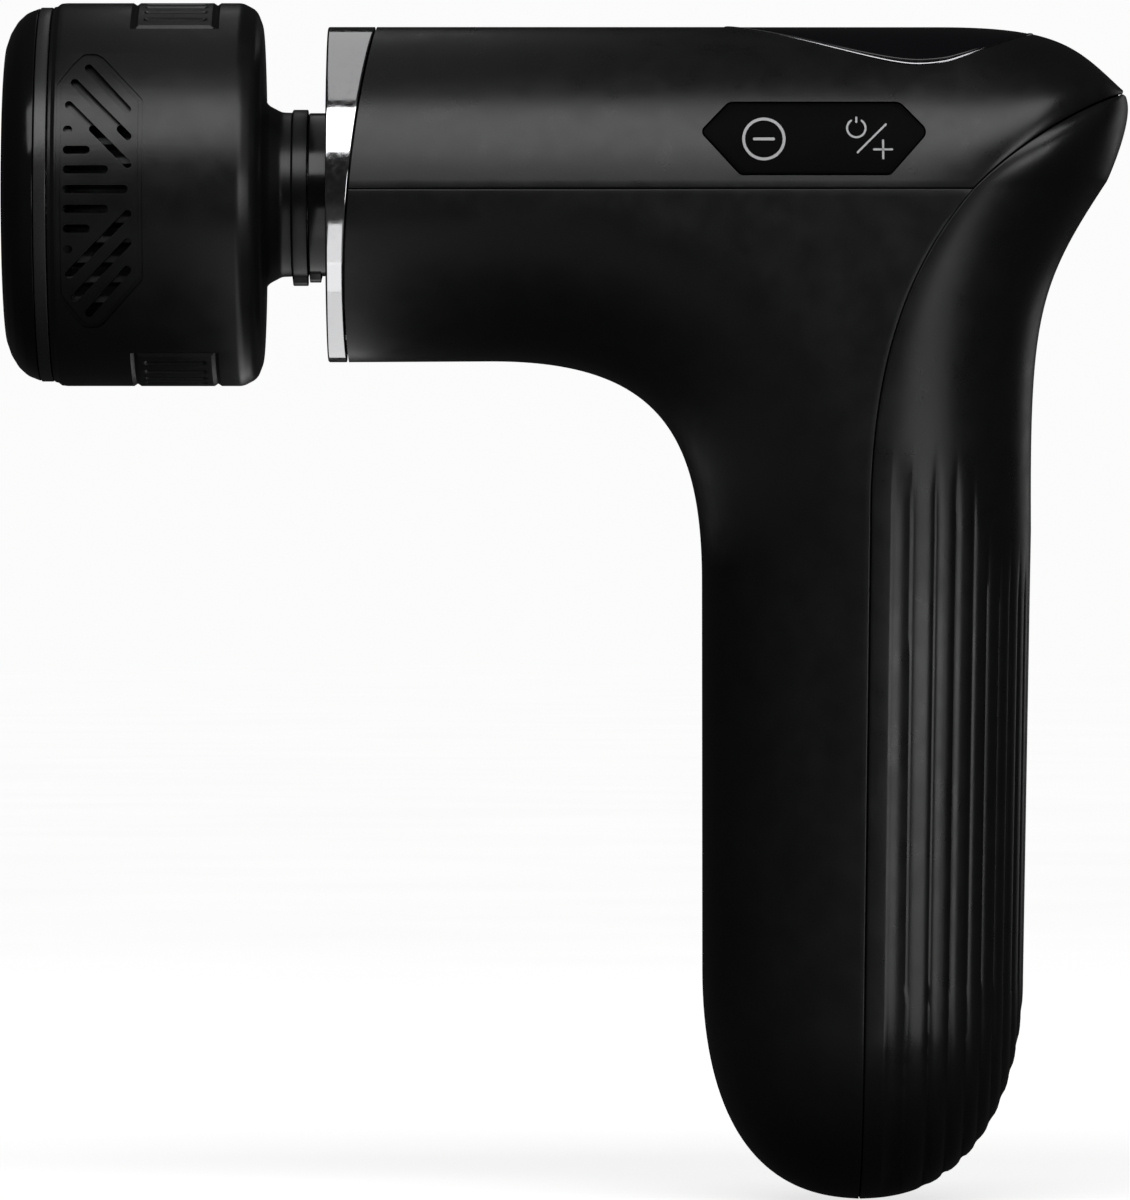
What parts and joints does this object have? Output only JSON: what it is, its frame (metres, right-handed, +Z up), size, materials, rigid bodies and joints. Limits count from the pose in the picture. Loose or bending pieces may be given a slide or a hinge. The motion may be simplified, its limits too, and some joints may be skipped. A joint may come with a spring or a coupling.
{
  "type": "massage gun",
  "caption": "Compact pistol-grip massage gun with a reciprocating shaft, a clip-in hot and cold head with side vents, a top display and a side control key.",
  "frame": {"origin": "centre of the hand grip, 67 mm below the barrel axis", "axes": "+Z up the grip to the barrel, -X the way the massage head points, Y across the grip; the control key is on the -Y side"},
  "size_m": [0.1503, 0.0514, 0.1605],
  "materials": {
    "shell": "satin black moulded plastic",
    "grip": "soft satin black moulded plastic",
    "glass": "smoked glossy acrylic",
    "chrome": "polished",
    "dark": "dark grey satin nylon",
    "rubber": "black elastomer",
    "gloss": "polished black",
    "board": "green solder mask",
    "cell": "heat-shrink sleeve",
    "steel": "machined",
    "alu": "die cast and machined",
    "bronze": "bronze and copper",
    "grey": "grey satin",
    "ceramic": "white ceramic"
  },
  "bodies": {
    "housing": {"barrel_top_cover": "shell", "rear_grip_cover": "shell", "front_housing": "grip", "display_lens": "glass", "display_trim": "chrome", "nose_ring": "chrome", "nose_plate": "dark", "battery_cradle": "dark", "dust_seal": "rubber", "frame_damper_left": "rubber", "frame_damper_right": "rubber", "key_board": "board", "main_board": "board", "display_board": "board", "charge_board": "board", "battery_cell_front": "cell", "battery_cell_rear": "cell", "usb_c_socket": "steel", "crank_bearing": "steel", "frame_screw_1": "steel", "frame_screw_2": "steel", "frame_screw_3": "steel", "frame_screw_4": "steel", "motor_screw_1": "steel", "motor_screw_2": "steel", "board_screw_1": "steel", "board_screw_2": "steel", "drive_frame": "alu", "motor_base": "alu", "guide_bush": "bronze", "motor_stator": "bronze"},
    "crank": {"rotor_can": "steel", "motor_shaft": "steel", "crank_disc": "steel"},
    "rod": {"connecting_rod": "alu", "crank_pin": "steel", "big_end_bearing": "steel"},
    "piston": {"piston_shaft": "steel", "output_hub": "dark", "wrist_pin": "steel"},
    "head": {"head_housing": "shell", "head_bezel": "gloss", "contact_plate": "gloss", "trim_ring": "grey", "peltier_module": "ceramic", "heat_sink": "alu", "fan_frame": "dark", "head_board": "board", "head_plug": "steel", "plug_o_ring": "rubber"},
    "fan": {"fan_rotor": "dark"},
    "key": {"control_key": "gloss"}
  },
  "joints": [
    {"name": "piston_slide", "type": "slide", "parent": "housing", "child": "piston", "axis": [1, 0, 0], "range_m": [0, 0.006]},
    {"name": "head_release", "type": "slide", "parent": "piston", "child": "head", "axis": [-1, 0, 0], "range_m": [0, 0.02]},
    {"name": "fan_spin", "type": "hinge", "parent": "head", "child": "fan", "pos_m": [-0.0919, 0, 0.067], "axis": [1, 0, 0], "continuous": true},
    {"name": "crank_spin", "type": "hinge", "parent": "housing", "child": "crank", "pos_m": [0, 0, 0.04], "axis": [0, 0, 1], "continuous": true},
    {"name": "rod_swing", "type": "hinge", "parent": "piston", "child": "rod", "pos_m": [-0.029, 0, 0.067], "axis": [0, 0, 1], "range_deg": [-6.6, 6.6]},
    {"name": "key_rock", "type": "hinge", "parent": "housing", "child": "key", "pos_m": [-0.0072, -0.0195, 0.0737], "axis": [0, 0, 1], "range_deg": [-1.2, 1.2], "stiffness_Nm_per_rad": 0.05}
  ]
}
